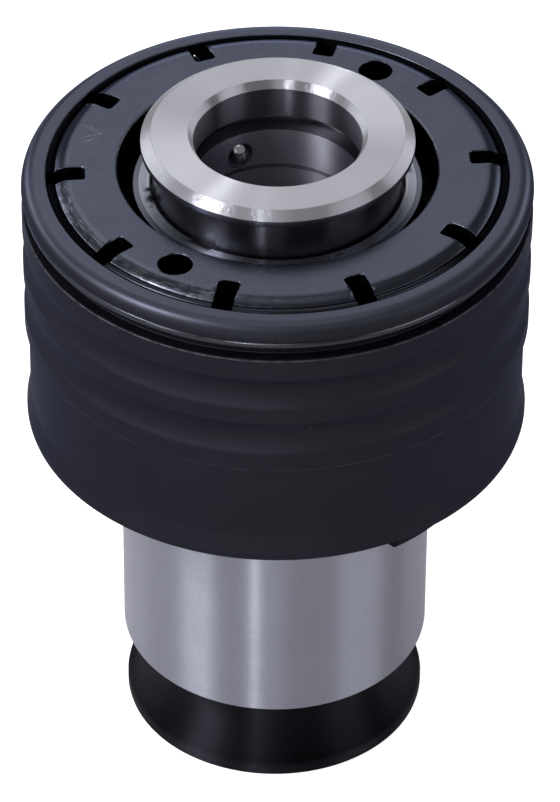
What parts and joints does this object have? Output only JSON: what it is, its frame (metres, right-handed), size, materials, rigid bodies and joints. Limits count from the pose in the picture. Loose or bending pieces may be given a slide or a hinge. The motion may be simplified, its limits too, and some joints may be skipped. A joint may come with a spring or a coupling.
{
  "type": "quick change tapping adapter",
  "caption": "Round tap holder with a ground shank, locking groove and drive dogs, a clutch head with a slotted adjusting nut, and a sprung collar that grips the tap.",
  "frame": {"origin": "centre of the end face that the adapter stands on, on the axis of the shank", "axes": "+Z along the axis, from the shank's end flange to the nose that takes the tap; -Y is the side that the picture shows"},
  "size_m": [0.0496, 0.0496, 0.0704],
  "materials": {
    "ground_steel": "cylindrically ground shank; end flange, dogs and relief blackened",
    "black_oxide": "black oxide, semi-gloss, fine turning marks",
    "black_oxide_nut": "black oxide with a blue-grey sheen, lightly scuffed face",
    "black_oxide_spindle": "black oxide, smooth and oiled",
    "collar_steel": "face and chamfers turned bright, the rest black oxide",
    "spring_steel": "oiled spring steel",
    "hardened_steel": "ground and hardened",
    "ball_steel": "polished bearing balls",
    "cage_brass": "plain turned brass"
  },
  "bodies": {
    "adapter": {"shank": "ground_steel", "clutch_housing": "black_oxide", "lock_wire": "spring_steel", "disc_spring_1": "spring_steel", "disc_spring_2": "spring_steel", "disc_spring_3": "spring_steel", "disc_spring_4": "spring_steel"},
    "spindle_unit": {"spindle": "black_oxide_spindle", "retaining_ring": "black_oxide_nut", "collar_spring": "spring_steel"},
    "clutch_pack": {"pressure_ring": "hardened_steel", "clutch_balls": "ball_steel", "bearing_rollers": "ball_steel", "bearing_cage": "cage_brass"},
    "upper_race": {"thrust_race": "hardened_steel"},
    "collar": {"release_collar": "collar_steel"},
    "spring_seat": {"spring_seat_ring": "hardened_steel"},
    "nut": {"adjusting_nut": "black_oxide_nut"},
    "lock_ball_1": {"lock_ball_1": "ball_steel"},
    "lock_ball_2": {"lock_ball_2": "ball_steel"},
    "lock_ball_3": {"lock_ball_3": "ball_steel"}
  },
  "joints": [
    {"name": "clutch_slip", "type": "hinge", "parent": "adapter", "child": "spindle_unit", "pos_m": [0, 0, 0.045], "axis": [0, 0, 1], "continuous": true},
    {"name": "clutch_lift", "type": "slide", "parent": "spindle_unit", "child": "clutch_pack", "axis": [0, 0, 1], "range_m": [0, 0.0013], "stiffness_N_per_m": 5000, "springref_m": -0.002, "deforming": ["disc_spring_1", "disc_spring_2", "disc_spring_3", "disc_spring_4"]},
    {"name": "race_lift", "type": "slide", "parent": "adapter", "child": "upper_race", "axis": [0, 0, 1], "range_m": [0, 0.0013]},
    {"name": "collar_press", "type": "slide", "parent": "spindle_unit", "child": "collar", "axis": [0, 0, -1], "range_m": [0, 0.0018], "stiffness_N_per_m": 1500, "springref_m": -0.004, "deforming": ["collar_spring"]},
    {"name": "nut_travel", "type": "slide", "parent": "adapter", "child": "spring_seat", "axis": [0, 0, 1], "range_m": [-0.0005, 0.0005]},
    {"name": "nut_turn", "type": "hinge", "parent": "spring_seat", "child": "nut", "pos_m": [0, 0, 0.0637], "axis": [0, 0, 1], "range_deg": [-180, 180], "deforming": ["lock_wire"]},
    {"name": "lock_ball_1_shift", "type": "slide", "parent": "spindle_unit", "child": "lock_ball_1", "axis": [-0.454, 0.891, 0], "range_m": [0, 0.00073]},
    {"name": "lock_ball_2_shift", "type": "slide", "parent": "spindle_unit", "child": "lock_ball_2", "axis": [-0.5446, -0.8387, 0], "range_m": [0, 0.00073]},
    {"name": "lock_ball_3_shift", "type": "slide", "parent": "spindle_unit", "child": "lock_ball_3", "axis": [0.9986, -0.0523, 0], "range_m": [0, 0.00073]}
  ],
  "couplings": [
    {"joint": "race_lift", "follows": "clutch_lift", "ratio": 1},
    {"joint": "nut_travel", "follows": "nut_turn", "m_per_rad": 0.00015915},
    {"joint": "lock_ball_1_shift", "follows": "collar_press", "ratio": 0.4},
    {"joint": "lock_ball_2_shift", "follows": "collar_press", "ratio": 0.4},
    {"joint": "lock_ball_3_shift", "follows": "collar_press", "ratio": 0.4}
  ]
}
